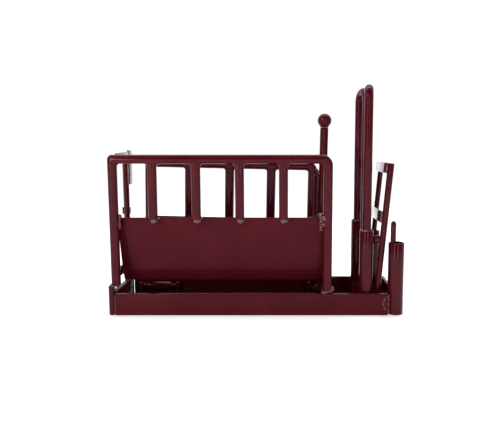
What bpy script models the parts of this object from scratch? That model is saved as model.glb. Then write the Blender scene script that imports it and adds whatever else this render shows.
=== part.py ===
"""Cattle squeeze chute, a welded steel model of about 1:12 scale, as separate pieces.

Frame: +X runs from the rear (tail) end to the front (head) end, +Y from the fixed
side to the squeeze side, +Z up.  The origin is the centre of the footprint, on the ground.
Lengths below are in millimetres and are turned into metres by MM.
"""
import math

import bmesh
import bpy
from mathutils import Matrix, Vector

MM = 0.001
GAP = 0.3                       # clearance kept between touching pieces

# ---- overall ---------------------------------------------------------------
LENGTH = 262.6                  # rear corner posts to front socket tube
WIDTH = 67.6                    # outside faces of the base rails
X_REAR = -LENGTH / 2
X_FRONT = LENGTH / 2

# ---- stock -----------------------------------------------------------------
ROD = 8.0                       # round bar of the side frames and head doors
THIN_ROD = 5.0                  # round bar of the two end gates
RAIL_H = 19.7                   # base rails, flat bar on edge
RAIL_T = 3.0
SHEET = 1.6                     # side panels
FLAT_T = 1.3                    # flats of the end gates

# ---- fixed side frame (distances in Y are from the outer face of the fixed side) ------
FRAME_Y = 4.0
POST_REAR_X = -124.6
POST_FRONT_X = 63.0
TOP_RAIL_Z = 138.2
BAR_X = (-90.2, -52.2, -14.2, 24.1)
BAR_FOOT_Z = 82.6

# ---- side panels -------------------------------------------------------------
PANEL_TOP_Z = 86.0
PANEL_BEND_Z = 37.5
PANEL_FOOT_Z = 27.0
PANEL_REAR_X = -123.4
PANEL_FRONT_X = 62.0

# ---- squeeze side ------------------------------------------------------------
SQ_Y = 60.0
SQ_AXIS_Z = 10.2
SQ_SAG = math.radians(1.3)      # it hangs this much nose down in its hinge
SQ_POST_X = (-108.1, -69.6, -30.7, 9.6, 49.6)
SQ_ROD = 8.8
SQ_RAIL_Z = 132.0
SQ_PANEL_TOP_Z = 80.4
HANDLE_X = 59.7
HANDLE_ROD = 8.0
HANDLE_TOP_Z = 170.3
BALL_D = 13.4
BALL_Z = 175.8

# ---- head doors ----------------------------------------------------------------
DOOR_X_NEAR, DOOR_Y_NEAR = 98.0, 9.4
DOOR_X_FAR, DOOR_Y_FAR = 96.4, 58.2
DOOR_SPACING = 18.0             # between the two legs of a door's loop
DOOR_TOP_Z = 203.4
DOOR_FREE_Z = 24.0              # foot of the free leg
SLEEVE_OD, SLEEVE_ID = 12.2, 8.7
SLEEVE_Z0 = 18.1
SLEEVE_TOP = (75.0, 77.6)       # fixed side, squeeze side
DOOR_REST = {"near": math.radians(-8.6), "far": math.radians(13.8)}   # how far each door stands turned

# ---- sockets and front gate ------------------------------------------------------
SOCKET_OD, SOCKET_ID = 13.3, 11.4
CORNER_OD = 14.0                # the pin's socket is a little stouter
SOCKET_NEAR_X = X_FRONT - CORNER_OD / 2
SOCKET_NEAR_Y = 7.0
SOCKET_FAR_X, SOCKET_FAR_Y = 111.2, 57.4
SOCKET_TOP_NEAR, SOCKET_TOP_FAR = 64.6, 67.6
PIN_D = 4.8
PIN_X = 121.4
PIN_TOP_Z = 83.8
GATE_LEAN = math.atan(0.0895)   # the gate leans out and turns a little in its sockets' slack
GATE_YAW = math.radians(1.0)
GATE_X, GATE_Z = 114.0, 80.0    # a point on the gate's leaning plane
GATE_NEAR_Y, GATE_FAR_Y = 13.0, 57.4
GATE_NEAR_ROD = 5.8
GATE_FOOT_NEAR, GATE_FOOT_FAR = 6.0, 46.0
GATE_STOP_Z = 66.0

# ---- rear gate ---------------------------------------------------------------------
HINGE_POST_X, HINGE_POST_Y = -127.0, 51.5
REAR_ROD_X = -124.2
REAR_NEAR_Y, REAR_FAR_Y = 12.2, 45.2
REAR_REST = math.radians(-3.2)  # the gate stands this far off square

# ----------------------------------------------------------------------------
for old in list(bpy.data.objects):
    bpy.data.objects.remove(old, do_unlink=True)

scene = bpy.context.scene
parts = bpy.data.collections.new("cattle_squeeze_chute")
scene.collection.children.link(parts)
cutters = bpy.data.collections.new("cutters")
scene.collection.children.link(cutters)


def paint(name, colour=(0.105, 0.012, 0.018, 1.0), rough=0.28, metal=0.0):
    mat = bpy.data.materials.new(name)
    mat.use_nodes = True
    shader = mat.node_tree.nodes["Principled BSDF"]
    shader.inputs["Base Color"].default_value = colour
    shader.inputs["Roughness"].default_value = rough
    shader.inputs["Metallic"].default_value = metal
    mat.diffuse_color = colour
    return mat


STEEL = (0.32, 0.31, 0.30, 1.0)


def finish(obj, steel=False):
    """Puts a finished object in the parts collection, with a material of its own."""
    for coll in list(obj.users_collection):
        coll.objects.unlink(obj)
    parts.objects.link(obj)
    mat = paint(obj.name + "_finish", STEEL, 0.35, 1.0) if steel else paint(obj.name + "_finish")
    obj.data.materials.clear()
    obj.data.materials.append(mat)
    return obj


def to_m(x, y, z):
    """Millimetres, with Y measured from the fixed side's outer face, to metres."""
    return Vector((x * MM, (y - WIDTH / 2) * MM, z * MM))


def mesh_object(name, bm):
    mesh = bpy.data.meshes.new(name)
    bmesh.ops.recalc_face_normals(bm, faces=bm.faces)
    bm.to_mesh(mesh)
    bm.free()
    obj = bpy.data.objects.new(name, mesh)
    scene.collection.objects.link(obj)
    return obj


def soften(obj, width, segments=1):
    mod = obj.modifiers.new("edges", "BEVEL")
    mod.width = width * MM
    mod.segments = segments
    mod.limit_method = "ANGLE"
    mod.angle_limit = math.radians(40)
    return obj


def box(name, x, y, z, edge=0.0, segments=1):
    """x, y and z are (low, high) in millimetres."""
    bm = bmesh.new()
    bmesh.ops.create_cube(bm, size=1.0)
    size = Vector(((x[1] - x[0]) * MM, (y[1] - y[0]) * MM, (z[1] - z[0]) * MM))
    bmesh.ops.scale(bm, vec=size, verts=bm.verts)
    obj = mesh_object(name, bm)
    obj.location = to_m((x[0] + x[1]) / 2, (y[0] + y[1]) / 2, (z[0] + z[1]) / 2)
    if edge:
        soften(obj, edge, segments)
    return finish(obj)


def turned(name, profile, at, steps=24, direction="Z", steel=False):
    """A profile of (radius, height) in millimetres turned about its axis.
    It runs down the outer side, top to bottom."""
    closed = all(r > 0 for r, h in profile)
    mesh = bpy.data.meshes.new(name)
    points = [(r * MM, 0.0, h * MM) for r, h in profile]
    edges = [(i, i + 1) for i in range(len(points) - 1)]
    if closed:
        edges.append((len(points) - 1, 0))
    mesh.from_pydata(points, edges, [])
    obj = bpy.data.objects.new(name, mesh)
    scene.collection.objects.link(obj)
    screw = obj.modifiers.new("turn", "SCREW")
    screw.axis = "Z"
    screw.angle = 2 * math.pi
    screw.steps = steps
    screw.render_steps = steps
    screw.use_merge_vertices = True
    screw.merge_threshold = 0.00001
    obj.location = to_m(*at)
    if direction == "X":
        obj.rotation_euler = (0.0, math.pi / 2, 0.0)
    return finish(obj, steel)


def tube(name, outer, inner, z0, z1, x, y, steps=24, chamfer=0.4):
    profile = [(inner / 2, z1), (outer / 2 - chamfer, z1), (outer / 2, z1 - chamfer),
               (outer / 2, z0 + chamfer), (outer / 2 - chamfer, z0), (inner / 2, z0)]
    return turned(name, profile, (x, y, 0.0), steps)


def arc_path(corners, radii, steps):
    """A path through the corners, each rounded to its radius, as evenly turned points."""
    path = [Vector(corners[0])]
    for i in range(1, len(corners) - 1):
        here = Vector(corners[i])
        back = (Vector(corners[i - 1]) - here).normalized()
        ahead = (Vector(corners[i + 1]) - here).normalized()
        radius = radii[i - 1]
        turn = math.pi - back.angle(ahead)
        reach = radius * math.tan(turn / 2)
        start = here + back * reach
        middle = (back + ahead).normalized()
        centre = here + middle * (radius / math.cos(turn / 2))
        first = start - centre
        normal = first.cross((here + ahead * reach) - centre).normalized()
        for k in range(steps + 1):
            path.append(centre + Matrix.Rotation(turn * k / steps, 4, normal) @ first)
    path.append(Vector(corners[-1]))
    return path


def rod(name, path, diameter, resolution=2, steel=False):
    """Round bar along a path of millimetre points (Y from the fixed side's outer face)."""
    curve = bpy.data.curves.new(name, "CURVE")
    curve.dimensions = "3D"
    curve.bevel_depth = diameter / 2 * MM
    curve.bevel_resolution = resolution
    curve.use_fill_caps = True
    curve.resolution_u = 1
    spline = curve.splines.new("POLY")
    start = to_m(*path[0])
    spline.points.add(len(path) - 1)
    for point, place in zip(spline.points, path):
        local = to_m(*place) - start
        point.co = (local.x, local.y, local.z, 1.0)
    obj = bpy.data.objects.new(name, curve)
    scene.collection.objects.link(obj)
    obj.location = start
    return finish(obj, steel)


def panel(name, outline, x0, x1):
    """A folded sheet: an outline in (Y, Z) carried along X."""
    curve = bpy.data.curves.new(name, "CURVE")
    curve.dimensions = "2D"
    curve.fill_mode = "BOTH"
    curve.extrude = (x1 - x0) / 2 * MM
    spline = curve.splines.new("POLY")
    spline.points.add(len(outline) - 1)
    for point, (y, z) in zip(spline.points, outline):
        point.co = ((y - WIDTH / 2) * MM, z * MM, 0.0, 1.0)
    spline.use_cyclic_u = True
    obj = bpy.data.objects.new(name, curve)
    scene.collection.objects.link(obj)
    obj.rotation_euler = (math.pi / 2, 0.0, math.pi / 2)
    obj.location = ((x0 + x1) / 2 * MM, 0.0, 0.0)
    return finish(obj)


def sheet_outline(path, thickness):
    """Both faces of a folded sheet whose middle runs along a (y, z) path."""
    points = [Vector((p[0], p[1])) for p in path]
    sides = ([], [])
    for i, here in enumerate(points):
        dirs = []
        if i > 0:
            dirs.append((here - points[i - 1]).normalized())
        if i < len(points) - 1:
            dirs.append((points[i + 1] - here).normalized())
        run = sum(dirs, Vector((0, 0))).normalized()
        normal = Vector((-run.y, run.x))
        widen = 1.0 / max(0.5, run.dot(dirs[0]))
        sides[0].append(tuple(here + normal * thickness / 2 * widen))
        sides[1].append(tuple(here - normal * thickness / 2 * widen))
    return sides[0] + sides[1][::-1]


def body(name, at, members, turn=None):
    """Hangs the pieces of a moving body on an empty at its joint's axis.
    turn is a matrix in metres applied to all of them about that point."""
    empty = bpy.data.objects.new(name, None)
    parts.objects.link(empty)
    empty.location = to_m(*at)
    inverse = Matrix.Translation(empty.location).inverted()
    for obj in members:
        obj.parent = empty
        obj.matrix_parent_inverse = inverse
    if turn is not None:
        empty.matrix_world = Matrix.Translation(empty.location) @ turn
    return empty


# =============================== base ===========================================
box("near_base_rail", (X_REAR + 5.6 + GAP, SOCKET_NEAR_X - CORNER_OD / 2 - GAP), (0.0, RAIL_T),
    (0.0, RAIL_H), 0.5)
box("far_base_rail", (X_REAR + 5.6 + GAP, 125.2), (WIDTH - RAIL_T, WIDTH), (0.0, RAIL_H), 0.5)
box("rear_end_rail", (X_REAR + 0.3, X_REAR + 5.3), (5.6 + GAP, WIDTH - 5.6 - GAP), (0.0, RAIL_H), 0.5)
box("front_end_rail", (122.2, 125.2), (SOCKET_NEAR_Y + CORNER_OD / 2 + GAP, WIDTH - RAIL_T - GAP),
    (0.0, RAIL_H), 0.5)
for label, y in (("near", 2.8), ("far", WIDTH - 2.8)):
    turned(f"rear_corner_post_{label}",
           [(0.0, 26.9), (1.9, 26.9), (2.6, 26.2), (2.8, 25.2), (2.8, 0.7), (2.3, 0.0), (0.0, 0.0)],
           (X_REAR + 2.8, y, 0.0), 16)
box("floor_plate", (X_REAR + 5.3 + GAP, 116.9), (RAIL_T + GAP, WIDTH - RAIL_T - GAP), (1.0, 3.0))

# =============================== fixed side =====================================
hoop = arc_path([(POST_REAR_X, FRAME_Y, 27.2), (POST_REAR_X, FRAME_Y, TOP_RAIL_Z),
                 (POST_FRONT_X, FRAME_Y, TOP_RAIL_Z), (POST_FRONT_X, FRAME_Y, RAIL_H + GAP)],
                [1.6, 6.2], 4)
hoop[0] = Vector((POST_REAR_X, FRAME_Y, 27.2))
rod("near_frame_hoop", hoop, ROD, 3)
for i, x in enumerate(BAR_X):
    rod(f"near_bar_{i + 1}", [(x, FRAME_Y, TOP_RAIL_Z - ROD / 2 - GAP), (x, FRAME_Y, BAR_FOOT_Z)], ROD, 3)

near_fold = [(FRAME_Y + 5.6, PANEL_TOP_Z - 0.2), (21.2, PANEL_BEND_Z), (26.0, PANEL_FOOT_Z)]
panel("near_side_panel", sheet_outline(near_fold, SHEET), PANEL_REAR_X, PANEL_FRONT_X)

# =============================== head doors =====================================
doors = {}
for label, x, y, way, top in (("near", DOOR_X_NEAR, DOOR_Y_NEAR, 1.0, SLEEVE_TOP[0]),
                              ("far", DOOR_X_FAR, DOOR_Y_FAR, -1.0, SLEEVE_TOP[1])):
    turned(f"door_hinge_pin_{label}",
           [(0.0, 62.0), (3.4, 62.0), (4.0, 61.4), (4.0, 17.8), (5.0, 17.8), (5.0, 3.0 + GAP), (0.0, 3.0 + GAP)],
           (x, y, 0.0), 20)
    sleeve = tube(f"{label}_door_sleeve", SLEEVE_OD, SLEEVE_ID, SLEEVE_Z0, top, x, y, 24)
    free = y + way * DOOR_SPACING
    path = arc_path([(x, y, top - 11.0), (x, y, DOOR_TOP_Z - ROD / 2),
                     (x, free, DOOR_TOP_Z - ROD / 2), (x, free, DOOR_FREE_Z)],
                    [DOOR_SPACING / 2 - 1.0, DOOR_SPACING / 2 - 1.0], 6)
    loop = rod(f"{label}_door_loop", path, ROD, 3)
    turn = Matrix.Rotation(DOOR_REST[label], 4, "Z")
    doors[label] = body(f"{label}_door_axis", (x, y, 0.0), [sleeve, loop], turn)

# =============================== sockets, drop pin ===============================
tube("near_socket_tube", CORNER_OD, SOCKET_ID, 0.0, SOCKET_TOP_NEAR, SOCKET_NEAR_X, SOCKET_NEAR_Y, 28)
tube("far_socket_tube", SOCKET_OD, SOCKET_ID, 3.0 + GAP, SOCKET_TOP_FAR, SOCKET_FAR_X, SOCKET_FAR_Y, 28)
r = PIN_D / 2
pin = turned("drop_pin",
             [(0.0, PIN_TOP_Z), (r * 0.5, PIN_TOP_Z - 0.3), (r * 0.87, PIN_TOP_Z - 1.1), (r, PIN_TOP_Z - 2.2),
              (r, 1.3), (r - 0.8, 0.4), (0.0, 0.4)], (PIN_X, SOCKET_NEAR_Y, 0.0), 16)
body("drop_pin_axis", (PIN_X, SOCKET_NEAR_Y, 0.0), [pin])

# =============================== front gate ======================================
gate_y = (GATE_NEAR_Y + GATE_FAR_Y) / 2
gate_turn = Matrix.Rotation(GATE_YAW, 4, "Z") @ Matrix.Rotation(GATE_LEAN, 4, "Y")
gate = []
for label, y, foot, size in (("near", GATE_NEAR_Y, GATE_FOOT_NEAR, GATE_NEAR_ROD),
                             ("far", GATE_FAR_Y, GATE_FOOT_FAR, THIN_ROD)):
    gate.append(rod(f"front_gate_{label}_rod", [(GATE_X, y, GATE_Z + (134.4 - GATE_Z) / math.cos(GATE_LEAN)),
                                                (GATE_X, y, GATE_Z - (GATE_Z - foot) / math.cos(GATE_LEAN))],
                    size, 2))
inner = GATE_X - GATE_NEAR_ROD / 2 - GAP
for label, z0, z1 in (("top", 125.6, 134.9), ("mid", 81.4, 91.6)):
    gate.append(box(f"front_gate_{label}_flat", (inner - FLAT_T, inner),
                    (GATE_NEAR_Y - 2.5, GATE_FAR_Y + 2.5), (z0, z1), 0.4))
gate.append(rod("front_gate_stop", [(inner, GATE_NEAR_Y, GATE_STOP_Z), (inner - 4.8, GATE_NEAR_Y, GATE_STOP_Z)],
                7.0, 2))
body("front_gate_axis", (GATE_X, gate_y, GATE_Z), gate, gate_turn)

# the cup that the near rod's foot stands in, centred where the leaning rod enters it
foot_at = gate_turn @ Vector((0.0, GATE_NEAR_Y - gate_y, 10.4 - GATE_Z))
tube("gate_foot_cup", 9.8, 7.8, 3.0 + GAP, 15.0, GATE_X + foot_at.x, gate_y + foot_at.y, 20, 0.3)

# =============================== rear gate =======================================
rod("rear_hinge_post", [(HINGE_POST_X, HINGE_POST_Y, RAIL_H + GAP), (HINGE_POST_X, HINGE_POST_Y, 134.0)],
    THIN_ROD, 2)
rear = []
for label, y, top in (("near", REAR_NEAR_Y, 142.0), ("far", REAR_FAR_Y, 143.6)):
    rear.append(rod(f"rear_gate_{label}_rod", [(REAR_ROD_X, y, top), (REAR_ROD_X, y, 26.0)], THIN_ROD, 2))
inside = REAR_ROD_X + THIN_ROD / 2 + GAP
outside = REAR_ROD_X - THIN_ROD / 2 - GAP
top_flat = box("rear_gate_top_flat", (inside, inside + 1.5), (REAR_NEAR_Y - 2.4, 40.6), (134.2, 143.0), 0.3)
top_flat.rotation_euler = (math.radians(2.6), 0.0, 0.0)
top_flat.location.z += 0.9 * MM
rear.append(top_flat)
rear.append(box("rear_gate_hinge_plate", (inside, inside + 1.5), (41.2, 51.0), (113.5, 145.7), 0.3))
for label, z0 in (("mid", 68.0), ("low", 29.0)):
    rear.append(box(f"rear_gate_{label}_flat", (outside - FLAT_T, outside),
                    (REAR_NEAR_Y - 2.4, REAR_FAR_Y + 1.6), (z0, z0 + 9.0), 0.3))
for label, z in (("low", 46.0), ("high", 88.0)):
    rear.append(tube(f"rear_gate_hinge_ring_{label}", 8.0, 5.7, z - 3.2, z + 3.2, HINGE_POST_X, HINGE_POST_Y, 20, 0.3))
body("rear_gate_axis", (HINGE_POST_X, HINGE_POST_Y, 80.0), rear, Matrix.Rotation(REAR_REST, 4, "Z"))

# =============================== squeeze side ====================================
# Modelled level, then the whole side is turned about its hinge by the sag.
sq = []
first, last = SQ_POST_X[0], SQ_POST_X[-1]
barrel_r = 4.2
hoop = arc_path([(first, SQ_Y, SQ_AXIS_Z + barrel_r + GAP), (first, SQ_Y, SQ_RAIL_Z),
                 (last, SQ_Y, SQ_RAIL_Z), (last, SQ_Y, 30.0)], [6.2, 6.2], 4)
sq.append(rod("squeeze_frame_hoop", hoop, SQ_ROD, 3))
for i, x in enumerate(SQ_POST_X[1:-1]):
    sq.append(rod(f"squeeze_bar_{i + 1}", [(x, SQ_Y, SQ_RAIL_Z - SQ_ROD / 2 - GAP), (x, SQ_Y, 76.8)], SQ_ROD, 3))
far_fold = [(SQ_Y - 6.0, SQ_PANEL_TOP_Z), (46.6, 37.5), (42.4, PANEL_FOOT_Z)]
sq.append(panel("squeeze_side_panel", sheet_outline(far_fold, SHEET), first - 3.0, last + 3.0))
for label, x0, x1 in (("rear", -111.0, -87.0), ("front", 54.2, 65.2)):
    length = x1 - x0
    sq.append(turned(f"squeeze_barrel_{label}",
                     [(2.6, length / 2), (barrel_r - 0.3, length / 2), (barrel_r, length / 2 - 0.3),
                      (barrel_r, 0.3 - length / 2), (barrel_r - 0.3, -length / 2), (2.6, -length / 2)],
                     ((x0 + x1) / 2, SQ_Y, SQ_AXIS_Z), 20, "X"))
sq.append(rod("squeeze_handle_rod", [(HANDLE_X, SQ_Y, SQ_AXIS_Z + barrel_r + GAP), (HANDLE_X, SQ_Y, HANDLE_TOP_Z - 1.3)],
              HANDLE_ROD, 3))
bm = bmesh.new()
bmesh.ops.create_uvsphere(bm, u_segments=20, v_segments=12, radius=BALL_D / 2 * MM)
ball = mesh_object("squeeze_handle_ball", bm)
ball.location = to_m(HANDLE_X, SQ_Y, BALL_Z - 0.05)
sq.append(finish(ball))
for label, z in (("upper", 124.0), ("lower", 80.0)):
    sq.append(rod(f"handle_stub_{label}", [(last + SQ_ROD / 2 + GAP, SQ_Y, z), (HANDLE_X - HANDLE_ROD / 2 - GAP, SQ_Y, z)],
                  5.6, 2))
sag_centre = (-26.0, SQ_Y, SQ_AXIS_Z)
sag = Matrix.Rotation(SQ_SAG, 4, "Y")
body("squeeze_side_axis", sag_centre, sq, sag)

# the hinge rods and their lugs lie along the same sagging line, on the base
fixed = []
for label, x0, x1 in (("rear", -115.2, -82.8), ("front", 50.8, 68.6)):
    fixed.append(rod(f"squeeze_hinge_rod_{label}", [(x0, SQ_Y, SQ_AXIS_Z), (x1, SQ_Y, SQ_AXIS_Z)], 4.4, 2))
for obj in fixed:
    centre = to_m(*sag_centre)
    obj.matrix_world = (Matrix.Translation(centre) @ sag @ Matrix.Translation(-centre)
                        @ Matrix.Translation(obj.location))
for i, x in enumerate((-117.0, -81.0, 49.0, 70.4)):
    box(f"squeeze_hinge_lug_{i + 1}", (x - 1.5, x + 1.5), (SQ_Y - 4.2, SQ_Y + 3.6), (3.0 + GAP, 15.9), 0.4)

# =============================== round pieces shade smooth =======================
for obj in parts.objects:
    if obj.type == "MESH" and len(obj.data.polygons) > 12:
        obj.data.shade_smooth()
        obj.data.set_sharp_from_angle(angle=math.radians(35))
    elif obj.type == "MESH":
        for mod in obj.modifiers:
            if mod.type == "SCREW":
                mod.use_smooth_shade = True
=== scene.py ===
"""Looks for the cattle squeeze chute: smooth round bar, tube, sheet and flats with weld beads,
all in one glossy burgundy powder coat, on a plain pale floor.

Lengths in the design notes are millimetres, with Y counted from the outer face of the fixed side.
"""
import math

import bmesh
import bpy
import numpy as np
from mathutils import Matrix, Vector, noise


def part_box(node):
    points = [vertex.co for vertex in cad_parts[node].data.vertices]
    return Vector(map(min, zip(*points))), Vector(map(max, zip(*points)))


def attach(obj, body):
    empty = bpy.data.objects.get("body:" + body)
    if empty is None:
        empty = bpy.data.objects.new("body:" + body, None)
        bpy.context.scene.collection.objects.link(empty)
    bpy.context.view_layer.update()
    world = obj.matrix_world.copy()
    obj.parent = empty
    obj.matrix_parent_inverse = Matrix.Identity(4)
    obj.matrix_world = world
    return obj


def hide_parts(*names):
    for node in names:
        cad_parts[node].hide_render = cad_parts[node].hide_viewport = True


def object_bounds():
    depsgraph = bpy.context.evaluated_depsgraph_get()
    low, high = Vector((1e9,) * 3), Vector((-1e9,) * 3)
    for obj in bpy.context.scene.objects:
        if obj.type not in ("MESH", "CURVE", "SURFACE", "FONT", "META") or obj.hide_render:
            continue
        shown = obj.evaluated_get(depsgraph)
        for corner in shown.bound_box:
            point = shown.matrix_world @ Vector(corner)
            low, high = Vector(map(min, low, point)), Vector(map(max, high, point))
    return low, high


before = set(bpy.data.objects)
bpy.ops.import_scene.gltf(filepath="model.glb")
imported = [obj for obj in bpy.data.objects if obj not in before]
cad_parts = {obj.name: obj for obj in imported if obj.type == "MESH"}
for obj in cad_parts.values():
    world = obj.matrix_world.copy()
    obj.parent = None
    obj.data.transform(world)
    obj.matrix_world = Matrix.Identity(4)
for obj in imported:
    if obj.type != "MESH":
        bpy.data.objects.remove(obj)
cad_lo, cad_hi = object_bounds()

MM = 0.001
GAP = 0.3
HALF_W = 33.8                     # half the width over the base rails
X_REAR, X_FRONT = cad_lo.x / MM, cad_hi.x / MM

# the design's own numbers, as in the construction
ROD, THIN = 8.0, 5.0
RAIL_H, RAIL_T = 19.7, 3.0
FRAME_Y, REAR_X, FRONT_X, TOP_Z = 4.0, -124.6, 63.0, 138.2
BARS = (-90.2, -52.2, -14.2, 24.1)
BAR_FOOT = 82.6
SQ_Y, SQ_AXIS, SQ_SAG = 60.0, 10.2, math.radians(1.3)
SQ_POSTS = (-108.1, -69.6, -30.7, 9.6, 49.6)
SQ_ROD = 8.8
SQ_TOP = 132.0
HANDLE_X, BALL_Z = 59.7, 175.75
DOORS = {"near": (98.0, 9.4, 1.0, 75.0), "far": (96.4, 58.2, -1.0, 77.6)}
DOOR_SPACING, DOOR_TOP, DOOR_FREE = 18.0, 203.4, 24.0
DOOR_REST = {"near": math.radians(-8.6), "far": math.radians(13.8)}
SOCKET_X, SOCKET_Y = X_FRONT - 7.0, 7.0
FAR_SOCKET_X, FAR_SOCKET_Y = 111.2, 57.4
PIN_X = 121.4
LEAN, YAW = math.atan(0.0895), math.radians(1.0)
GATE_X, GATE_Z, GATE_NEAR, GATE_FAR = 114.0, 80.0, 13.0, 57.4
POST_X, POST_Y = -127.0, 51.5
RG_X, RG_NEAR, RG_FAR = -124.2, 12.2, 45.2
RG_REST = math.radians(-3.2)


# ============================ materials =========================================
def coat(name, low, high, rough, bump, ior, coat_weight, grain=500.0, coat_ior=1.22):
    """Glossy powder coat: two close burgundies in a slow drift, a fine orange-peel skin,
    a painted highlight (a lighter, paler burgundy) over convex edges, and a few soft dull patches."""
    mat = bpy.data.materials.new(name)
    mat.use_nodes = True
    nodes, links = mat.node_tree.nodes, mat.node_tree.links
    shader = nodes["Principled BSDF"]
    shader.inputs["IOR"].default_value = ior
    shader.inputs["Coat Weight"].default_value = coat_weight
    shader.inputs["Coat Roughness"].default_value = 0.06
    shader.inputs["Coat IOR"].default_value = coat_ior
    where = nodes.new("ShaderNodeTexCoord")

    def cloud(scale, detail, seed=0.0):
        shift = nodes.new("ShaderNodeMapping")
        shift.inputs["Location"].default_value = (seed, seed * 0.7, seed * 0.3)
        links.new(where.outputs["Object"], shift.inputs["Vector"])
        tex = nodes.new("ShaderNodeTexNoise")
        tex.inputs["Scale"].default_value = scale
        tex.inputs["Detail"].default_value = detail
        links.new(shift.outputs["Vector"], tex.inputs["Vector"])
        return tex.outputs["Fac"]

    drift = nodes.new("ShaderNodeValToRGB")
    drift.color_ramp.elements[0].position = 0.35
    drift.color_ramp.elements[0].color = low
    drift.color_ramp.elements[1].position = 0.68
    drift.color_ramp.elements[1].color = high
    links.new(cloud(38.0, 3.0, 0.4), drift.inputs["Fac"])

    # painted highlight: convex edges, picked by pointiness, get a lighter, paler burgundy in place of the edge
    # highlights
    edge = nodes.new("ShaderNodeNewGeometry")
    edge_highlight_mask = nodes.new("ShaderNodeMapRange")
    edge_highlight_mask.inputs["From Min"].default_value = 0.53
    edge_highlight_mask.inputs["From Max"].default_value = 0.66
    edge_highlight_mask.inputs["To Max"].default_value = 0.28
    links.new(edge.outputs["Pointiness"], edge_highlight_mask.inputs["Value"])
    edge_highlight_mix = nodes.new("ShaderNodeMix")
    edge_highlight_mix.data_type = "RGBA"
    edge_highlight_mix.inputs["B"].default_value = (high[0] * 1.7, high[1] * 2.2, high[2] * 2.0, 1.0)
    links.new(edge_highlight_mask.outputs["Result"], edge_highlight_mix.inputs["Factor"])
    links.new(drift.outputs["Color"], edge_highlight_mix.inputs["A"])
    links.new(edge_highlight_mix.outputs["Result"], shader.inputs["Base Color"])

    dull = nodes.new("ShaderNodeMapRange")
    dull.inputs["From Min"].default_value = 0.3
    dull.inputs["From Max"].default_value = 0.75
    dull.inputs["To Min"].default_value = rough * 0.8
    dull.inputs["To Max"].default_value = rough * 1.35
    links.new(cloud(120.0, 4.0, 2.1), dull.inputs["Value"])
    links.new(dull.outputs["Result"], shader.inputs["Roughness"])

    peel = nodes.new("ShaderNodeBump")
    peel.inputs["Strength"].default_value = bump
    peel.inputs["Distance"].default_value = 0.00012
    links.new(cloud(grain, 2.0, 5.3), peel.inputs["Height"])
    links.new(peel.outputs["Normal"], shader.inputs["Normal"])
    links.new(peel.outputs["Normal"], shader.inputs["Coat Normal"])
    return mat


BAR = coat("burgundy_bar", (0.056, 0.0024, 0.0062, 1), (0.073, 0.0036, 0.0082, 1), 0.13, 0.08, 1.19, 0.26, 500.0, 1.24)
PLATE = coat("burgundy_plate", (0.062, 0.0044, 0.0086, 1), (0.075, 0.0057, 0.0106, 1), 0.22, 0.12, 1.13, 0.14, 420.0)
# painted reflection: the flats' base colour is a lighter, paler copy of the bar burgundy, standing in for the white
# backdrop they reflect at a grazing angle
FLAT_PAINTED_REFLECTION = coat("burgundy_flat_painted_reflection", (0.080, 0.010, 0.016, 1), (0.098, 0.014, 0.020, 1), 0.10, 0.08, 1.55, 1.0, 500.0, 1.4)
TUBE = coat("burgundy_tube", (0.056, 0.0024, 0.0062, 1), (0.072, 0.0036, 0.0082, 1), 0.12, 0.08, 1.20, 0.28, 500.0, 1.25)
BEAD = coat("burgundy_weld", (0.066, 0.0056, 0.0106, 1), (0.090, 0.0088, 0.0144, 1), 0.11, 0.08, 1.45, 0.8, 1400.0, 1.45)
SLOTS = {"coated_bar": BAR, "coated_plate": PLATE, "coated_flat": FLAT_PAINTED_REFLECTION, "coated_tube": TUBE}


# ============================ geometry ===========================================
def at(x, y, z):
    return Vector((x * MM, (y - HALF_W) * MM, z * MM))


def turned_about(point, turn):
    """A turn in metres about a design point."""
    centre = at(*point)
    return Matrix.Translation(centre) @ turn @ Matrix.Translation(-centre)


SQ_TURN = turned_about((-26.0, SQ_Y, SQ_AXIS), Matrix.Rotation(SQ_SAG, 4, "Y"))
GATE_MID = (GATE_X, (GATE_NEAR + GATE_FAR) / 2, GATE_Z)
GATE_TURN = turned_about(GATE_MID, Matrix.Rotation(YAW, 4, "Z") @ Matrix.Rotation(LEAN, 4, "Y"))
DOOR_TURN = {k: turned_about((DOORS[k][0], DOORS[k][1], 0.0), Matrix.Rotation(DOOR_REST[k], 4, "Z")) for k in DOORS}
REAR_TURN = turned_about((POST_X, POST_Y, 80.0), Matrix.Rotation(RG_REST, 4, "Z"))


def place(name, bm, body, material, nodes=(), turn=None, sharp=38.0):
    bmesh.ops.remove_doubles(bm, verts=bm.verts, dist=1e-7)
    bmesh.ops.recalc_face_normals(bm, faces=bm.faces)
    mesh = bpy.data.meshes.new(name)
    bm.to_mesh(mesh)
    bm.free()
    if turn is not None:
        mesh.transform(turn)
    mesh.shade_smooth()
    mesh.set_sharp_from_angle(angle=math.radians(sharp))
    obj = bpy.data.objects.new(name, mesh)
    bpy.context.scene.collection.objects.link(obj)
    mesh.materials.append(material)
    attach(obj, body)
    if nodes:
        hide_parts(*nodes)
    return obj


def arc_path(corners, radii, steps):
    path = [Vector(corners[0])]
    for i in range(1, len(corners) - 1):
        here = Vector(corners[i])
        back = (Vector(corners[i - 1]) - here).normalized()
        ahead = (Vector(corners[i + 1]) - here).normalized()
        radius = radii[i - 1]
        turn = math.pi - back.angle(ahead)
        reach = radius * math.tan(turn / 2)
        start = here + back * reach
        centre = here + (back + ahead).normalized() * (radius / math.cos(turn / 2))
        first = start - centre
        normal = first.cross((here + ahead * reach) - centre).normalized()
        for k in range(steps + 1):
            path.append(centre + Matrix.Rotation(turn * k / steps, 4, normal) @ first)
    path.append(Vector(corners[-1]))
    return path


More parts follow.
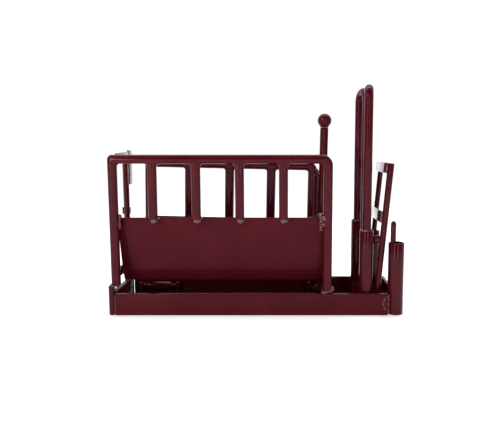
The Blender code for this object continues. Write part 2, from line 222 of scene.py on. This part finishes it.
def sweep(bm, path, radius, sides=24, ends=0.5, lumps=0.0, seed=0.0, step=None):
    """Round bar along design points, with ends softened by `ends` millimetres.
    lumps makes a weld bead's ripple of it."""
    pts = [at(*p) for p in path]
    if step:
        fine = [pts[0]]
        for a, b in zip(pts, pts[1:]):
            n = max(1, int((b - a).length / (step * MM)))
            fine += [a.lerp(b, k / n) for k in range(1, n + 1)]
        pts = fine
    tangents = []
    for i in range(len(pts)):
        a, b = pts[max(0, i - 1)], pts[min(len(pts) - 1, i + 1)]
        tangents.append((b - a).normalized())
    up = Vector((0, 0, 1)) if abs(tangents[0].z) < 0.9 else Vector((0, 1, 0))
    side = tangents[0].cross(up).normalized()
    rings = []
    r = radius * MM
    e = min(ends * MM, r * 0.98)

    def ring(centre, tangent, size):
        nonlocal side
        side = (side - tangent * side.dot(tangent)).normalized()
        other = tangent.cross(side)
        out = []
        for k in range(sides):
            a = 2 * math.pi * k / sides
            d = side * math.cos(a) + other * math.sin(a)
            grow = 1.0
            if lumps:
                grow += lumps * noise.noise((centre + d * r) * 900.0 + Vector((seed, seed, 0)))
            out.append(bm.verts.new(centre + d * size * grow))
        return out

    turns = 4 if e > 0.6 * MM else 2
    for k in range(turns + 1):
        a = math.pi / 2 * k / turns
        rings.append(ring(pts[0] + tangents[0] * (e - e * math.cos(a)), tangents[0], r - e + e * math.sin(a) + (1e-6 if k == 0 else 0)))
    for i in range(1, len(pts) - 1):
        rings.append(ring(pts[i], tangents[i], r))
    for k in range(turns + 1):
        a = math.pi / 2 * (1 - k / turns)
        rings.append(ring(pts[-1] - tangents[-1] * (e - e * math.cos(a)), tangents[-1], r - e + e * math.sin(a) + (1e-6 if k == turns else 0)))
    for a, b in zip(rings, rings[1:]):
        for k in range(sides):
            bm.faces.new((a[k], a[(k + 1) % sides], b[(k + 1) % sides], b[k]))
    bm.faces.new(rings[0][::-1])
    bm.faces.new(rings[-1])
    return bm


def lathe(bm, profile, centre, steps=40, axis="Z"):
    """(radius, height) millimetres about an axis through a design point."""
    base = at(*centre)
    rings = []
    for r, h in profile:
        if r <= 1e-6:
            p = Vector((0, 0, h * MM))
            rings.append([p])
        else:
            rings.append([Vector((r * MM * math.cos(2 * math.pi * k / steps), r * MM * math.sin(2 * math.pi * k / steps), h * MM))
                          for k in range(steps)])
    made = []
    for ring in rings:
        row = []
        for p in ring:
            if axis == "X":
                p = Vector((p.z, p.y, -p.x))
            row.append(bm.verts.new(base + p))
        made.append(row)
    closed = profile[0][0] > 1e-6
    pairs = list(zip(made, made[1:])) + ([(made[-1], made[0])] if closed else [])
    for a, b in pairs:
        for k in range(steps):
            j = (k + 1) % steps
            if len(a) == 1 and len(b) == 1:
                continue
            if len(a) == 1:
                bm.faces.new((a[0], b[k], b[j]))
            elif len(b) == 1:
                bm.faces.new((a[k], a[j], b[0]))
            else:
                bm.faces.new((a[k], a[j], b[j], b[k]))
    return bm


def round_tube(outer, inner, z0, z1, edge=0.45):
    """A tube's section with rolled rims."""
    ro, ri = outer / 2, inner / 2
    e = min(edge, (ro - ri) * 0.48)
    out = []
    for cx, cz, a0 in ((ri + e, z1 - e, 180), (ro - e, z1 - e, 90), (ro - e, z0 + e, 0), (ri + e, z0 + e, 270)):
        for k in range(4):
            a = math.radians(a0 - 90 * k / 3)
            out.append((cx + e * math.cos(a), cz + e * math.sin(a)))
    return out


def slab(bm, x, y, z, edge=0.5, segments=3):
    made = bmesh.ops.create_cube(bm, size=1.0)
    bmesh.ops.scale(bm, vec=Vector(((x[1] - x[0]) * MM, (y[1] - y[0]) * MM, (z[1] - z[0]) * MM)), verts=made["verts"])
    bmesh.ops.translate(bm, vec=at((x[0] + x[1]) / 2, (y[0] + y[1]) / 2, (z[0] + z[1]) / 2), verts=made["verts"])
    edges = list({e for v in made["verts"] for e in v.link_edges})
    bmesh.ops.bevel(bm, geom=edges, offset=edge * MM, segments=segments, profile=0.5, affect="EDGES")
    return bm


def comb(name, posts, feet, top, fillet, corner, diameter, y, body, material, nodes, turn=None):
    """Round-bar posts under one top rail, in one piece, with a weld fillet in each inner corner."""
    core = 0.35                                   # half the width of the flat heart of the bar
    grow = diameter / 2 - core
    r_in = fillet + grow
    feet = [z + grow for z in feet]
    outline = []

    def bend(cx, cz, radius, a0, a1, steps=8):
        for k in range(steps + 1):
            a = math.radians(a0 + (a1 - a0) * k / steps)
            outline.append((cx + radius * math.cos(a), cz + radius * math.sin(a)))

    left, right = posts[0] - core, posts[-1] + core
    outline.append((left, feet[0]))
    bend(left + corner[0], top + core - corner[0], corner[0], 180, 90)
    bend(right - corner[1], top + core - corner[1], corner[1], 90, 0)
    outline.append((right, feet[-1]))
    outline.append((posts[-1] - core, feet[-1]))
    under = top - core
    for i in range(len(posts) - 1, 0, -1):
        a, b = posts[i] - core, posts[i - 1] + core
        bend(a - r_in, under - r_in, r_in, 0, 90)
        bend(b + r_in, under - r_in, r_in, 90, 180)
        outline.append((b, feet[i - 1]))
        if i - 1 > 0:
            outline.append((posts[i - 1] - core, feet[i - 1]))
    curve = bpy.data.curves.new(name, "CURVE")
    curve.dimensions = "2D"
    curve.fill_mode = "BOTH"
    curve.extrude = core * MM
    curve.bevel_depth = grow * MM
    curve.bevel_resolution = 5
    spline = curve.splines.new("POLY")
    spline.points.add(len(outline) - 1)
    for p, (x, z) in zip(spline.points, outline):
        p.co = (x * MM, z * MM, 0.0, 1.0)
    spline.use_cyclic_u = True
    temp = bpy.data.objects.new(name + "_curve", curve)
    bpy.context.scene.collection.objects.link(temp)
    temp.rotation_euler = (math.pi / 2, 0.0, 0.0)
    temp.location = at(0.0, y, 0.0)
    bpy.context.view_layer.update()
    mesh = bpy.data.meshes.new_from_object(temp.evaluated_get(bpy.context.evaluated_depsgraph_get()))
    mesh.transform(temp.matrix_world)
    bpy.data.objects.remove(temp, do_unlink=True)
    bpy.data.curves.remove(curve)
    bm = bmesh.new()
    bm.from_mesh(mesh)
    bmesh.ops.remove_doubles(bm, verts=bm.verts, dist=1e-6)
    return place(name, bm, body, material, nodes, turn, 60.0)


def folded(name, path, thickness, x, body, nodes, turn=None, slope=0.0):
    """A folded sheet with rounded edges, its fold eased over a few millimetres."""
    fine = arc_path([(0.0, p[0], p[1]) for p in path], [9.0] * (len(path) - 2), 6)
    pts = [Vector((p.y, p.z)) for p in fine]
    half = thickness / 2
    front, back = [], []
    for i, p in enumerate(pts):
        a, b = pts[max(0, i - 1)], pts[min(len(pts) - 1, i + 1)]
        run = (b - a).normalized()
        n = Vector((-run.y, run.x))
        front.append(p + n * half)
        back.append(p - n * half)
    rim = []
    for end, tip, sign in ((0, pts[0], -1.0), (-1, pts[-1], 1.0)):
        run = (pts[1] - pts[0]).normalized() if end == 0 else (pts[-1] - pts[-2]).normalized()
        n = Vector((-run.y, run.x))
        bow = []
        for k in range(1, 5):
            a = math.pi * k / 5
            bow.append(tip + n * half * math.cos(a) + run * sign * half * math.sin(a))
        rim.append(bow)
    outline = front + rim[1] + back[::-1] + rim[0][::-1]
    bm = bmesh.new()
    rows = []
    ends = (x[0], x[0] + 0.25, x[0] + 0.8) + tuple(x[0] + 0.8 + (x[1] - x[0] - 1.6) * k / 24 for k in range(1, 24)) + (x[1] - 0.8, x[1] - 0.25, x[1])
    middle = front + back[::-1]
    for i, xx in enumerate(ends):
        inset = {0: 0.35, 1: 0.1, len(ends) - 2: 0.1, len(ends) - 1: 0.35}.get(i, 0.0)
        row = []
        for j, p in enumerate(outline):
            q = p.copy()
            if inset:
                m = min(pts, key=lambda c: (c - p).length)
                q = p + (m - p).normalized() * min(inset, (m - p).length) if (m - p).length > 1e-6 else p
            z = q.y
            shift = slope * (PANEL_REF - z) if xx < 0 and i < 3 else 0.0
            row.append(bm.verts.new(at(xx + shift, q.x, z)))
        rows.append(row)
    n = len(outline)
    for a, b in zip(rows, rows[1:]):
        for k in range(n):
            bm.faces.new((a[k], a[(k + 1) % n], b[(k + 1) % n], b[k]))
    bm.faces.new(rows[0])
    bm.faces.new(rows[-1][::-1])
    return place(name, bm, body, PLATE, nodes, turn, 45.0)


PANEL_REF = 86.0
welds = {}


def blob(body, centre, size, seed, turn=None, squash=(1.0, 1.0, 1.0)):
    """A lump of weld: a rippled ball, flattened to suit its joint."""
    bm = welds.setdefault(body, bmesh.new())
    made = bmesh.ops.create_icosphere(bm, subdivisions=3, radius=size * MM)
    middle = at(*centre)
    for v in made["verts"]:
        p = v.co.copy()
        k = 1.0 + 0.16 * noise.noise(p.normalized() * 1.9 + Vector((seed * 3.1, seed, 1.0)))
        p = Vector((p.x * squash[0], p.y * squash[1], p.z * squash[2])) * k + middle
        v.co = turn @ p if turn is not None else p


def bead(body, path, size, seed, turn=None, pitch=1.5):
    """A run of weld: overlapping scales along a short path."""
    pts = [Vector(p) for p in path]
    total = sum((b - a).length for a, b in zip(pts, pts[1:]))
    n = max(2, int(total / pitch))
    done, k = 0.0, 0
    for a, b in zip(pts, pts[1:]):
        run = (b - a).length
        while k <= n and done + run >= total * k / n - 1e-6:
            t = (total * k / n - done) / run
            p = a.lerp(b, min(1.0, max(0.0, t)))
            blob(body, tuple(p), size * (1.0 + 0.12 * math.sin(seed + k * 1.7)), seed + k, turn)
            k += 1
        done += run


def weld_ring(body, centre, radius, size, seed, turn=None, a0=0.0, a1=360.0, axis="Z", pitch=1.5):
    n = max(3, int(math.radians(abs(a1 - a0)) * radius / pitch))
    for k in range(n + 1):
        a = math.radians(a0 + (a1 - a0) * k / n)
        c, s = radius * math.cos(a), radius * math.sin(a)
        d = {"Z": (c, s, 0.0), "X": (0.0, c, s), "Y": (c, 0.0, s)}[axis]
        blob(body, (centre[0] + d[0], centre[1] + d[1], centre[2] + d[2]), size * (1.0 + 0.1 * math.sin(seed * 2.0 + k * 2.3)), seed + k, turn)


# ============================ base ================================================
x0, x1 = X_REAR + 5.6 + GAP, SOCKET_X - 7.0 - GAP
place("base_rail_near", slab(bmesh.new(), (x0, x1), (0.0, RAIL_T), (0.0, RAIL_H), 0.7), "root", PLATE, ("near_base_rail",))
place("base_rail_far", slab(bmesh.new(), (x0, 125.2), (2 * HALF_W - RAIL_T, 2 * HALF_W), (0.0, RAIL_H), 0.7), "root", PLATE, ("far_base_rail",))
place("end_rail_rear", slab(bmesh.new(), (X_REAR + 0.3, X_REAR + 5.3), (5.9, 2 * HALF_W - 5.9), (0.0, RAIL_H), 0.8), "root", PLATE, ("rear_end_rail",))
place("end_rail_front", slab(bmesh.new(), (122.2, 125.2), (SOCKET_Y + 7.3, 2 * HALF_W - RAIL_T - GAP), (0.0, RAIL_H), 0.6), "root", PLATE, ("front_end_rail",))
for label, y in (("near", 2.8), ("far", 2 * HALF_W - 2.8)):
    profile = [(0.0, 26.9)] + [(2.8 - 1.5 + 1.5 * math.sin(math.radians(a)), 25.4 + 1.5 * math.cos(math.radians(a))) for a in range(0, 91, 18)]
    profile += [(2.8, 13.0)] + [(2.8 - 0.9 + 0.9 * math.cos(math.radians(a)), 0.9 - 0.9 * math.sin(math.radians(a))) for a in range(0, 91, 18)] + [(0.0, 0.0)]
    place(f"corner_post_{label}", lathe(bmesh.new(), profile, (X_REAR + 2.8, y, 0.0)), "root", BAR, (f"rear_corner_post_{label}",))
place("floor", slab(bmesh.new(), (X_REAR + 5.6, 116.9), (RAIL_T + GAP, 2 * HALF_W - RAIL_T - GAP), (1.0, 3.0), 0.4), "root", PLATE, ("floor_plate",))

# ============================ fixed side ==========================================
comb("fixed_frame", (REAR_X,) + BARS + (FRONT_X,), (27.2,) + (BAR_FOOT + 1.6,) * 4 + (RAIL_H + GAP,), TOP_Z, 2.7, (0.8, 5.8), ROD, FRAME_Y, "root", BAR,
     ("near_frame_hoop", "near_bar_1", "near_bar_2", "near_bar_3", "near_bar_4"))
folded("fixed_panel", [(FRAME_Y + 5.6, 85.8), (21.2, 37.5), (26.0, 27.0)], 1.6, (-123.4, 62.0), "root", ("near_side_panel",))

# ============================ head doors ==========================================
for label, (x, y, way, top) in DOORS.items():
    turn = DOOR_TURN[label]
    body = f"{label}_door"
    profile = [(0.0, 62.0), (3.2, 62.0), (3.8, 61.7), (4.0, 61.2), (4.0, 17.8), (4.7, 17.7), (5.0, 17.3), (5.0, 3.3), (0.0, 3.3)]
    place(f"hinge_pin_{label}", lathe(bmesh.new(), profile, (x, y, 0.0)), "root", BAR, (f"door_hinge_pin_{label}",))
    place(f"door_tube_{label}", lathe(bmesh.new(), round_tube(12.2, 8.7, 18.1, top, 0.6), (x, y, 0.0), 48), body, TUBE, (f"{label}_door_sleeve",), turn)
    free = y + way * DOOR_SPACING
    path = arc_path([(x, y, top - 11.0), (x, y, DOOR_TOP - 4.0), (x, free, DOOR_TOP - 4.0), (x, free, DOOR_FREE)],
                    [DOOR_SPACING / 2 - 0.3] * 2, 12)
    place(f"door_bar_{label}", sweep(bmesh.new(), path, 4.0, 32, 1.2), body, BAR, (f"{label}_door_loop",), turn)
    weld_ring(body, (x, y, top - 0.1), 4.7, 1.25, 3.0 + y, turn)

# ============================ sockets, pin ========================================
place("corner_socket", lathe(bmesh.new(), round_tube(14.0, 11.4, 0.0, 64.6, 0.6), (SOCKET_X, SOCKET_Y, 0.0), 56), "root", TUBE, ("near_socket_tube",))
place("gate_socket", lathe(bmesh.new(), round_tube(13.3, 11.4, 3.3, 67.6, 0.5), (FAR_SOCKET_X, FAR_SOCKET_Y, 0.0), 56), "root", TUBE, ("far_socket_tube",))
profile = [(2.4 * math.sin(math.radians(a)), 83.8 - 3.2 * (1 - math.cos(math.radians(a)))) for a in range(0, 91, 10)]
profile += [(2.4, 1.4), (2.0, 0.7), (1.3, 0.4), (0.0, 0.4)]
place("corner_pin", lathe(bmesh.new(), profile, (PIN_X, SOCKET_Y, 0.0), 28), "drop_pin", BAR, ("drop_pin",))

# ============================ front gate ==========================================
for label, y, foot, thick in (("near", GATE_NEAR, 6.0, 5.8), ("far", GATE_FAR, 46.0, THIN)):
    path = [(GATE_X, y, GATE_Z + (134.4 - GATE_Z) / math.cos(LEAN)), (GATE_X, y, 100.0), (GATE_X, y, GATE_Z - (GATE_Z - foot) / math.cos(LEAN))]
    place(f"gate_bar_{label}", sweep(bmesh.new(), path, thick / 2, 28, 0.8), "front_gate", BAR, (f"front_gate_{label}_rod",), GATE_TURN)
inner = GATE_X - 2.9 - GAP
for label, z0, z1 in (("top", 125.6, 134.9), ("mid", 81.4, 91.6)):
    place(f"gate_flat_{label}", slab(bmesh.new(), (inner - 1.3, inner), (GATE_NEAR - 2.5, GATE_FAR + 2.5), (z0, z1), 0.4), "front_gate", FLAT_PAINTED_REFLECTION,
          (f"front_gate_{label}_flat",), GATE_TURN)
    for y in (GATE_NEAR + 2.7, GATE_FAR - 2.5):
        bead("front_gate", [(inner + 0.5, y, z0 + 1.5), (inner + 0.5, y, z1 - 1.5)], 0.7, y + z0, GATE_TURN, 1.1)
place("gate_stop", sweep(bmesh.new(), [(inner, GATE_NEAR, 66.0), (inner - 2.4, GATE_NEAR, 66.0), (inner - 4.8, GATE_NEAR, 66.0)], 3.5, 28, 0.7), "front_gate", BAR,
      ("front_gate_stop",), GATE_TURN)
weld_ring("front_gate", (inner, GATE_NEAR, 66.0), 2.6, 0.8, 4.2, GATE_TURN, axis="X")
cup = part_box("gate_foot_cup")
cup_x, cup_y = (cup[0].x + cup[1].x) / 2 / MM, (cup[0].y + cup[1].y) / 2 / MM + HALF_W
place("foot_cup", lathe(bmesh.new(), round_tube(9.8, 7.8, 3.3, 15.0, 0.4), (cup_x, cup_y, 0.0), 36), "root", TUBE, ("gate_foot_cup",))

# ============================ rear gate ===========================================
place("rear_post", sweep(bmesh.new(), [(POST_X, POST_Y, 20.0), (POST_X, POST_Y, 80.0), (POST_X, POST_Y, 134.0)], 2.5, 24, 0.9), "root", BAR, ("rear_hinge_post",))
for label, y, top in (("near", RG_NEAR, 142.0), ("far", RG_FAR, 143.6)):
    place(f"rear_bar_{label}", sweep(bmesh.new(), [(RG_X, y, top), (RG_X, y, 80.0), (RG_X, y, 26.0)], 2.5, 24, 0.9), "rear_gate", BAR, (f"rear_gate_{label}_rod",), REAR_TURN)
inside, outside = RG_X + 2.8, RG_X - 2.8
tilt = Matrix.Translation(Vector((0, 0, 0.9 * MM))) @ turned_about((inside + 0.75, (RG_NEAR - 2.4 + 40.6) / 2, 138.6), Matrix.Rotation(math.radians(2.6), 4, "X"))
place("rear_flat_top", slab(bmesh.new(), (inside, inside + 1.5), (RG_NEAR - 2.4, 40.6), (134.2, 143.0), 0.45), "rear_gate", FLAT_PAINTED_REFLECTION, ("rear_gate_top_flat",), REAR_TURN @ tilt)
place("rear_plate", slab(bmesh.new(), (inside, inside + 1.5), (41.2, 51.0), (113.5, 145.7), 0.45), "rear_gate", FLAT_PAINTED_REFLECTION, ("rear_gate_hinge_plate",), REAR_TURN)
for label, z0 in (("mid", 68.0), ("low", 29.0)):
    place(f"rear_flat_{label}", slab(bmesh.new(), (outside - 1.3, outside), (RG_NEAR - 2.4, RG_FAR + 1.6), (z0, z0 + 9.0), 0.4), "rear_gate", FLAT_PAINTED_REFLECTION, (f"rear_gate_{label}_flat",), REAR_TURN)
    for y in (RG_NEAR + 2.4, RG_FAR - 2.4):
        bead("rear_gate", [(outside + 0.2, y, z0 + 1.4), (outside + 0.2, y, z0 + 7.6)], 0.75, y + z0, REAR_TURN, 1.1)
for label, z in (("low", 46.0), ("high", 88.0)):
    place(f"rear_ring_{label}", lathe(bmesh.new(), round_tube(8.0, 5.7, z - 3.2, z + 3.2, 0.4), (POST_X, POST_Y, 0.0), 36), "rear_gate", TUBE, (f"rear_gate_hinge_ring_{label}",), REAR_TURN)
    bead("rear_gate", [(-125.5, 47.7, z - 2.4), (-125.5, 47.7, z + 2.4)], 0.8, z, REAR_TURN, 1.2)

# ============================ squeeze side ========================================
first, last = SQ_POSTS[0], SQ_POSTS[-1]
comb("squeeze_frame", SQ_POSTS, (SQ_AXIS + 4.5,) + (76.8,) * 3 + (30.0,), SQ_TOP, 2.2, (3.4, 5.0), SQ_ROD, SQ_Y, "squeeze_side", BAR,
     ("squeeze_frame_hoop", "squeeze_bar_1", "squeeze_bar_2", "squeeze_bar_3"), SQ_TURN)
folded("squeeze_panel", [(SQ_Y - 6.0, 80.2), (46.6, 37.5), (42.4, 27.0)], 1.6, (first - 3.0, last + 3.0), "squeeze_side", ("squeeze_side_panel",), SQ_TURN)
for label, a, b in (("rear", -111.0, -87.0), ("front", 54.2, 65.2)):
    prof = round_tube(8.4, 5.2, -(b - a) / 2, (b - a) / 2, 0.4)
    place(f"barrel_{label}", lathe(bmesh.new(), prof, ((a + b) / 2, SQ_Y, SQ_AXIS), 36, "X"), "squeeze_side", TUBE, (f"squeeze_barrel_{label}",), SQ_TURN)
for label, a, b in (("rear", -115.2, -82.8), ("front", 50.8, 68.6)):
    place(f"hinge_rod_{label}", sweep(bmesh.new(), [(a, SQ_Y, SQ_AXIS), ((a + b) / 2, SQ_Y, SQ_AXIS), (b, SQ_Y, SQ_AXIS)], 2.2, 24, 0.5), "root", BAR, (f"squeeze_hinge_rod_{label}",), SQ_TURN)
for i, x in enumerate((-117.0, -81.0, 49.0, 70.4)):
    place(f"hinge_lug_{i + 1}", slab(bmesh.new(), (x - 1.5, x + 1.5), (SQ_Y - 4.2, SQ_Y + 3.6), (3.3, 15.9), 0.7), "root", PLATE, (f"squeeze_hinge_lug_{i + 1}",))
    bead("root", [(x - 1.7, SQ_Y - 3.8, 3.3), (x - 1.7, SQ_Y + 3.0, 3.3)], 0.8, x, None, 1.2)
place("handle_bar", sweep(bmesh.new(), [(HANDLE_X, SQ_Y, 14.7), (HANDLE_X, SQ_Y, 90.0), (HANDLE_X, SQ_Y, 168.95)], 4.0, 32, 0.7), "squeeze_side", BAR, ("squeeze_handle_rod",), SQ_TURN)
profile = [(6.7 * math.sin(math.radians(a)), 6.7 * math.cos(math.radians(a))) for a in range(0, 141, 5)]
profile += [(4.2, -5.5), (4.15, -5.9), (4.2, -6.3), (3.7, -6.6), (0.0, -6.65)]
place("handle_ball", lathe(bmesh.new(), profile, (HANDLE_X, SQ_Y, BALL_Z), 48), "squeeze_side", BAR, ("squeeze_handle_ball",), SQ_TURN)
for label, z in (("upper", 124.0), ("lower", 80.0)):
    a, b = last + 4.7, HANDLE_X - 4.3
    place(f"stub_{label}", sweep(bmesh.new(), [(a, SQ_Y, z), ((a + b) / 2, SQ_Y, z), (b, SQ_Y, z)], 2.8, 20, 0.3), "squeeze_side", BAR, (f"handle_stub_{label}",), SQ_TURN)

# ============================ weld beads ==========================================
for i, x in enumerate(BARS):
    blob("root", (x + 0.5, FRAME_Y - 0.1, 84.9), 3.6, i * 2.0 + 1, None, (1.1, 0.92, 1.0))
    blob("root", (x - 2.8, FRAME_Y + 1.2, 86.6), 1.9, i * 2.0 + 7, None, (0.9, 1.0, 1.3))
    blob("root", (x + 3.2, FRAME_Y + 1.4, 85.8), 1.8, i * 2.0 + 11)
    blob("root", (x + 1.0, FRAME_Y - 1.9, 87.2), 1.7, i * 2.0 + 17, None, (1.4, 0.9, 0.8))
    bead("root", [(x - 4.0, FRAME_Y + 4.6, 85.6), (x + 4.0, FRAME_Y + 4.6, 85.6)], 1.3, i + 40.0)
# corners of the panel to the end posts
blob("root", (FRONT_X - 2.6, 2.6, 86.4), 3.0, 5.0, None, (1.1, 0.8, 0.9))
blob("root", (FRONT_X - 3.6, 2.9, 81.6), 2.8, 6.0, None, (1.0, 0.8, 0.95))
bead("root", [(FRONT_X - 6.0, 6.3, 88.5), (FRONT_X - 5.2, 5.4, 84.0), (FRONT_X - 5.6, 5.8, 76.5)], 2.3, 9.0, None, 2.4)
bead("root", [(REAR_X + 4.2, 6.0, 88.0), (REAR_X + 3.8, 5.2, 83.0), (REAR_X + 4.0, 5.8, 78.0)], 2.0, 15.0, None, 2.0)
# mitre at the rear top corner
bead("root", [(REAR_X - 1.2, 2.0, TOP_Z - 3.4), (REAR_X + 1.2, 1.6, TOP_Z - 0.2), (REAR_X + 3.2, 2.0, TOP_Z + 2.2)], 1.4, 22.0, None, 1.4)
# front post on the near rail
bead("root", [(FRONT_X - 4.6, 2.6, 18.6), (FRONT_X - 2.6, 2.3, 20.4), (FRONT_X, 2.2, 21.2), (FRONT_X + 3.0, 2.4, 22.0), (FRONT_X + 4.4, 3.2, 23.4)], 2.0, 31.0, None, 1.9)
bead("root", [(FRONT_X - 4.0, 6.2, 20.4), (FRONT_X + 4.0, 6.2, 20.4)], 1.5, 35.0)
blob("root", (FRONT_X - 3.0, 2.2, 19.2), 2.1, 36.0, None, (1.3, 0.85, 0.8))
blob("root", (FRONT_X + 1.6, 2.6, 21.8), 2.3, 37.0, None, (1.2, 0.8, 0.8))
# rear post on the corner post
weld_ring("root", (X_REAR + 5.4, 4.0, 26.6), 3.0, 1.35, 51.0)
# near rail to the corner posts and the corner socket
for z in (3.0, 7.0, 11.0, 15.0):
    blob("root", (X_REAR + 5.8, 1.6, z), 1.3, z + 60, None, (0.7, 0.8, 2.0))
bead("root", [(x1 - 0.6, 1.1, 17.4), (x1 - 3.2, 1.0, 15.4), (x1 - 4.6, 0.95, 11.8), (x1 - 4.4, 0.95, 8.6), (x1 - 3.0, 1.0, 6.2)], 1.15, 71.0, None, 1.1)
bead("root", [(x1 + 0.5, 1.9, 2.0), (x1 + 0.4, 1.9, 18.2)], 1.1, 80.0, None, 1.3)
# far socket and cup to the floor, pins to the floor
weld_ring("root", (FAR_SOCKET_X, FAR_SOCKET_Y, 3.4), 6.8, 1.0, 91.0, None, 0, 360, "Z", 1.8)
for label, (x, y, way, top) in DOORS.items():
    weld_ring("root", (x, y, 3.4), 5.2, 1.0, 95.0 + y, None, 0, 360, "Z", 1.6)
weld_ring("root", (POST_X, POST_Y, 20.0), 2.6, 0.8, 99.0, None, 0, 360, "Z", 1.2)
# squeeze side
for i, x in enumerate(SQ_POSTS[1:-1]):
    blob("squeeze_side", (x, SQ_Y - 3.0, 79.6), 2.4, i + 100.0, SQ_TURN)
    bead("squeeze_side", [(x - 3.4, SQ_Y - 4.6, 80.0), (x + 3.4, SQ_Y - 4.6, 80.0)], 1.1, i + 110.0, SQ_TURN)
for z in (124.0, 80.0):
    for xx, yy in ((last + 4.5, 3.0), (HANDLE_X - 4.1, 3.0)):
        weld_ring("squeeze_side", (xx, SQ_Y, z), 2.6, 0.9, z + xx, SQ_TURN, 0, 360, "X", 1.3)
    blob("squeeze_side", (last + 5.4, SQ_Y - 2.9, z + 1.6), 2.1, z, SQ_TURN)
    blob("squeeze_side", (last + 3.6, SQ_Y - 3.6, z + 4.2), 1.6, z + 5.0, SQ_TURN)
bead("squeeze_side", [(last - 2.0, SQ_Y - 4.4, 81.4), (last + 2.4, SQ_Y - 4.2, 83.0)], 1.5, 120.0, SQ_TURN)
bead("squeeze_side", [(last - 0.6, SQ_Y - 4.2, 121.0), (last + 2.0, SQ_Y - 3.8, 123.6)], 1.2, 130.0, SQ_TURN)
bead("squeeze_side", [(first, SQ_Y - 4.4, 81.0), (first - 0.5, SQ_Y - 4.4, 74.0)], 1.4, 140.0, SQ_TURN)
weld_ring("squeeze_side", (first, SQ_Y, SQ_AXIS + 4.3), 3.8, 0.8, 150.0, SQ_TURN)
weld_ring("squeeze_side", (HANDLE_X, SQ_Y, SQ_AXIS + 4.3), 3.6, 0.8, 160.0, SQ_TURN)
bead("squeeze_side", [(last + 5.25, SQ_Y - 0.6, 84.0), (last + 5.25, SQ_Y - 0.6, 127.0)], 1.25, 170.0, SQ_TURN, 1.5)
for body, bm in welds.items():
    place(f"welds_{body}", bm, body, BEAD, sharp=180.0)

# ============================ floor, light, camera ================================
def stage_material(name, colour, rough):
    mat = bpy.data.materials.new(name)
    mat.use_nodes = True
    shader = mat.node_tree.nodes["Principled BSDF"]
    shader.inputs["Base Color"].default_value = colour
    shader.inputs["Roughness"].default_value = rough
    shader.inputs["Specular IOR Level"].default_value = 0.0
    return mat


bm = bmesh.new()
bmesh.ops.create_grid(bm, x_segments=1, y_segments=1, size=6.0)
mesh = bpy.data.meshes.new("floor_plane")
bm.to_mesh(mesh)
bm.free()
ground = bpy.data.objects.new("floor_plane", mesh)
bpy.context.scene.collection.objects.link(ground)
ground.location.z = -0.0002
pale = stage_material("pale_floor", (0.92, 0.92, 0.93, 1.0), 0.9)
pale.node_tree.nodes["Principled BSDF"].inputs["Emission Color"].default_value = (1.0, 1.0, 1.0, 1.0)
pale.node_tree.nodes["Principled BSDF"].inputs["Emission Strength"].default_value = 0.44
mesh.materials.append(pale)

world = bpy.data.worlds.new("studio")
bpy.context.scene.world = world
world.use_nodes = True
wn, wl = world.node_tree.nodes, world.node_tree.links
back = wn["Background"]
look = wn.new("ShaderNodeTexCoord")
part = wn.new("ShaderNodeSeparateXYZ")
wl.new(look.outputs["Generated"], part.inputs["Vector"])
ramp = wn.new("ShaderNodeValToRGB")
ramp.color_ramp.elements[0].position = 0.30
ramp.color_ramp.elements[0].color = (0.09, 0.09, 0.10, 1)
ramp.color_ramp.elements[1].position = 0.62
ramp.color_ramp.elements[1].color = (1.0, 1.0, 1.02, 1)
half = wn.new("ShaderNodeMapRange")
half.inputs["From Min"].default_value = -1.0
half.inputs["From Max"].default_value = 1.0
wl.new(part.outputs["Y"], half.inputs["Value"])
wl.new(half.outputs["Result"], ramp.inputs["Fac"])
wl.new(ramp.outputs["Color"], back.inputs["Color"])
back.inputs["Strength"].default_value = 1.1


def lamp(name, place_at, aim, size, power, colour=(1, 1, 1)):
    data = bpy.data.lights.new(name, "AREA")
    data.shape = "RECTANGLE"
    data.size, data.size_y = size
    data.energy = power
    data.color = colour
    obj = bpy.data.objects.new(name, data)
    bpy.context.scene.collection.objects.link(obj)
    obj.location = place_at
    obj.rotation_euler = (Vector(aim) - Vector(place_at)).to_track_quat("-Z", "Y").to_euler()
    return obj


lamp("top_soft", (0.0, 0.1, 1.1), (0, 0, 0.05), (1.2, 0.9), 0.7)
lamp("top_strip", (0.0, 0.15, 0.95), (0, 0, 0.1), (0.9, 0.12), 3.6)
lamp("front_left", (-0.7, -0.85, 0.7), (0, 0, 0.08), (0.16, 0.16), 3.4)
lamp("strip_left", (-0.5, -0.9, 0.3), (0, 0, 0.08), (0.08, 0.6), 2.2)
lamp("strip_right", (0.35, -1.0, 0.3), (0, 0, 0.08), (0.07, 0.6), 1.5)

cam_data = bpy.data.cameras.new("camera")
cam_data.sensor_width = 36.0
cam_data.lens = 549.0 / 480.0 * 36.0
cam_data.shift_x = -44.0 / 480.0
cam_data.clip_start = 0.02
cam = bpy.data.objects.new("camera", cam_data)
bpy.context.scene.collection.objects.link(cam)
cam.location = (0.02453, -0.50717, 0.14955)
cam.rotation_euler = (math.radians(90 - 6.804), 0.0, 0.0)
bpy.context.scene.camera = cam
bpy.context.scene.view_settings.view_transform = "Standard"
